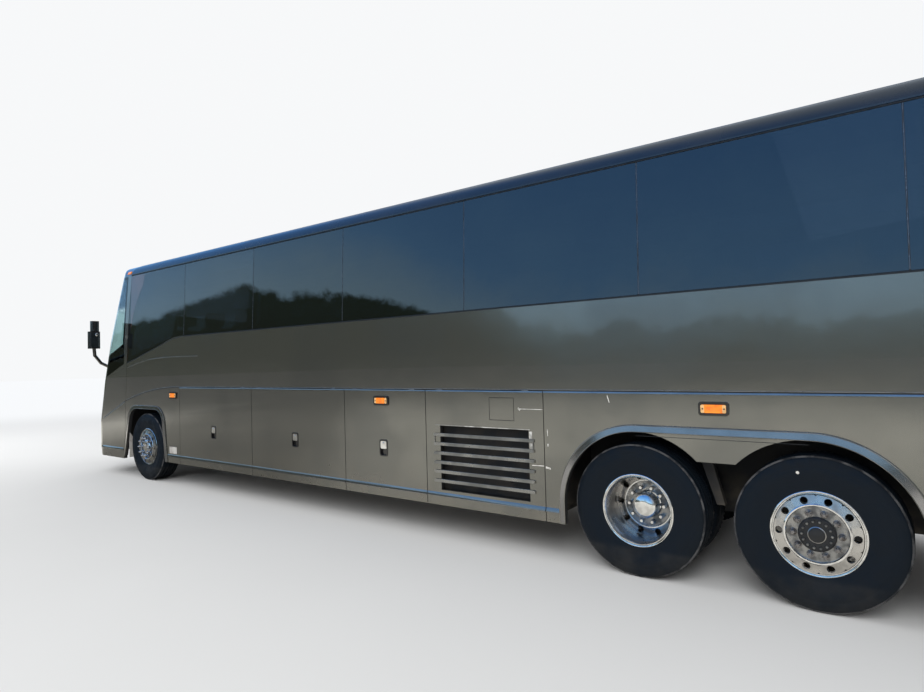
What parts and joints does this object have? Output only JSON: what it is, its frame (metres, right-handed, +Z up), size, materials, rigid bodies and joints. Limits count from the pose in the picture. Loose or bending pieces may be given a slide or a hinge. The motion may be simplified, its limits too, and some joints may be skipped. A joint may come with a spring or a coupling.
{
  "type": "coach bus",
  "caption": "Highway coach with flush dark side glass, a raked one-box nose, luggage flaps under a raised cabin, and twin rear wheels ahead of a trailing axle.",
  "frame": {"origin": "on the ground under the middle of the overall bounding box", "axes": "+X forward along the coach, +Y to its left, +Z up"},
  "size_m": [13.8398, 3.238, 3.5648],
  "materials": {
    "frame_black": "satin black chassis paint",
    "floor_grey": "dark grey floor covering on board",
    "housing_black": "matt black undersealed sheet",
    "body_pewter": "glossy pewter metallic paint",
    "glass_dark": "dark tinted glass",
    "glass_clear": "lightly tinted screen glass",
    "roof_dark": "glossy pewter metallic paint with dark edges",
    "lamp_clear": "clear lamp cover",
    "lamp_red": "red lamp cover",
    "lamp_amber": "amber lamp cover",
    "trim_black": "gloss black trim",
    "dash_grey": "dark grey dashboard",
    "seat_cloth": "dark patterned seat cloth",
    "engine_iron": "dark cast iron",
    "core_metal": "dark finned cooling core",
    "axle_iron": "black axle paint on iron",
    "tyre_black": "plain black tyre",
    "wheel_alloy": "polished aluminium"
  },
  "bodies": {
    "coach": {"underframe": "frame_black", "cabin_floor": "floor_grey", "wheel_housings": "housing_black", "side_walls": "body_pewter", "lower_panels": "body_pewter", "roof": "roof_dark", "front_cap": "body_pewter", "rear_cap": "body_pewter", "bumpers": "body_pewter", "side_and_rear_glass": "glass_dark", "windscreen": "glass_clear", "headlamps": "lamp_clear", "tail_lamps": "lamp_red", "mirrors": "trim_black", "wipers": "trim_black", "dashboard": "dash_grey", "driver_seat": "seat_cloth", "passenger_seats": "seat_cloth", "parcel_racks": "dash_grey", "engine": "engine_iron", "cooling_cores": "core_metal", "marker_lamps": "lamp_amber", "front_axle": "axle_iron", "drive_axle": "axle_iron", "tag_axle": "axle_iron"},
    "entry_door": {"entry_door": "body_pewter", "entry_door_glass": "glass_clear"},
    "engine_door": {"engine_door": "body_pewter"},
    "steering_wheel": {"steering_wheel": "dash_grey"},
    "luggage_door_left_front": {"luggage_door_left_front": "body_pewter"},
    "luggage_door_left_middle": {"luggage_door_left_middle": "body_pewter"},
    "luggage_door_left_rear": {"luggage_door_left_rear": "body_pewter"},
    "condenser_door": {"condenser_door": "body_pewter"},
    "radiator_door_left": {"radiator_door_left": "body_pewter"},
    "luggage_door_right_front": {"luggage_door_right_front": "body_pewter"},
    "luggage_door_right_middle": {"luggage_door_right_middle": "body_pewter"},
    "luggage_door_right_rear": {"luggage_door_right_rear": "body_pewter"},
    "service_door_right": {"service_door_right": "body_pewter"},
    "radiator_door_right": {"radiator_door_right": "body_pewter"},
    "knuckle_left": {"knuckle_left": "axle_iron"},
    "wheel_front_left": {"tyre_front_left": "tyre_black", "wheel_front_left": "wheel_alloy"},
    "wheel_drive_left": {"tyre_drive_left": "tyre_black", "wheel_drive_left": "wheel_alloy"},
    "wheel_tag_left": {"tyre_tag_left": "tyre_black", "wheel_tag_left": "wheel_alloy"},
    "knuckle_right": {"knuckle_right": "axle_iron"},
    "wheel_front_right": {"tyre_front_right": "tyre_black", "wheel_front_right": "wheel_alloy"},
    "wheel_drive_right": {"tyre_drive_right": "tyre_black", "wheel_drive_right": "wheel_alloy"},
    "wheel_tag_right": {"tyre_tag_right": "tyre_black", "wheel_tag_right": "wheel_alloy"}
  },
  "joints": [
    {"name": "entry_door_hinge", "type": "hinge", "parent": "coach", "child": "entry_door", "pos_m": [6.326, -1.295, 0.82], "axis": [0, 0, 1], "range_deg": [0, 85]},
    {"name": "engine_door_hinge", "type": "hinge", "parent": "coach", "child": "engine_door", "pos_m": [-6.87829, 0, 1.796], "axis": [0, 1, 0], "range_deg": [0, 80]},
    {"name": "steering_wheel_turn", "type": "hinge", "parent": "coach", "child": "steering_wheel", "pos_m": [5.93, 0.64, 1.76], "axis": [-0.4695, 0, 0.8829], "range_deg": [-720, 720]},
    {"name": "luggage_door_left_front_hinge", "type": "hinge", "parent": "coach", "child": "luggage_door_left_front", "pos_m": [2.93, 1.295, 1.471], "axis": [1, 0, 0], "range_deg": [0, 85]},
    {"name": "luggage_door_left_middle_hinge", "type": "hinge", "parent": "coach", "child": "luggage_door_left_middle", "pos_m": [1.145, 1.295, 1.471], "axis": [1, 0, 0], "range_deg": [0, 85]},
    {"name": "luggage_door_left_rear_hinge", "type": "hinge", "parent": "coach", "child": "luggage_door_left_rear", "pos_m": [-0.335, 1.295, 1.471], "axis": [1, 0, 0], "range_deg": [0, 85]},
    {"name": "condenser_door_hinge", "type": "hinge", "parent": "coach", "child": "condenser_door", "pos_m": [-1.6, 1.295, 1.471], "axis": [1, 0, 0], "range_deg": [0, 85]},
    {"name": "radiator_door_left_hinge", "type": "hinge", "parent": "coach", "child": "radiator_door_left", "pos_m": [-5.79, 1.295, 1.471], "axis": [1, 0, 0], "range_deg": [0, 85]},
    {"name": "luggage_door_right_front_hinge", "type": "hinge", "parent": "coach", "child": "luggage_door_right_front", "pos_m": [2.93, -1.295, 1.471], "axis": [-1, 0, 0], "range_deg": [0, 85]},
    {"name": "luggage_door_right_middle_hinge", "type": "hinge", "parent": "coach", "child": "luggage_door_right_middle", "pos_m": [1.145, -1.295, 1.471], "axis": [-1, 0, 0], "range_deg": [0, 85]},
    {"name": "luggage_door_right_rear_hinge", "type": "hinge", "parent": "coach", "child": "luggage_door_right_rear", "pos_m": [-0.335, -1.295, 1.471], "axis": [-1, 0, 0], "range_deg": [0, 85]},
    {"name": "service_door_right_hinge", "type": "hinge", "parent": "coach", "child": "service_door_right", "pos_m": [-1.6, -1.295, 1.471], "axis": [-1, 0, 0], "range_deg": [0, 85]},
    {"name": "radiator_door_right_hinge", "type": "hinge", "parent": "coach", "child": "radiator_door_right", "pos_m": [-5.79, -1.295, 1.471], "axis": [-1, 0, 0], "range_deg": [0, 85]},
    {"name": "steer_left", "type": "hinge", "parent": "coach", "child": "knuckle_left", "pos_m": [4.9, 0.88, 0.525], "axis": [0, 0, 1], "range_deg": [-48, 48]},
    {"name": "wheel_front_left_spin", "type": "hinge", "parent": "knuckle_left", "child": "wheel_front_left", "pos_m": [4.9, 1.12, 0.525], "axis": [0, 1, 0], "continuous": true},
    {"name": "wheel_drive_left_spin", "type": "hinge", "parent": "coach", "child": "wheel_drive_left", "pos_m": [-3.06, 1.12, 0.525], "axis": [0, 1, 0], "continuous": true},
    {"name": "wheel_tag_left_spin", "type": "hinge", "parent": "coach", "child": "wheel_tag_left", "pos_m": [-4.3, 1.12, 0.525], "axis": [0, 1, 0], "continuous": true},
    {"name": "steer_right", "type": "hinge", "parent": "coach", "child": "knuckle_right", "pos_m": [4.9, -0.88, 0.525], "axis": [0, 0, 1], "range_deg": [-48, 48]},
    {"name": "wheel_front_right_spin", "type": "hinge", "parent": "knuckle_right", "child": "wheel_front_right", "pos_m": [4.9, -1.12, 0.525], "axis": [0, 1, 0], "continuous": true},
    {"name": "wheel_drive_right_spin", "type": "hinge", "parent": "coach", "child": "wheel_drive_right", "pos_m": [-3.06, -1.12, 0.525], "axis": [0, 1, 0], "continuous": true},
    {"name": "wheel_tag_right_spin", "type": "hinge", "parent": "coach", "child": "wheel_tag_right", "pos_m": [-4.3, -1.12, 0.525], "axis": [0, 1, 0], "continuous": true}
  ],
  "couplings": [
    {"joint": "steer_right", "follows": "steer_left", "ratio": 1}
  ]
}
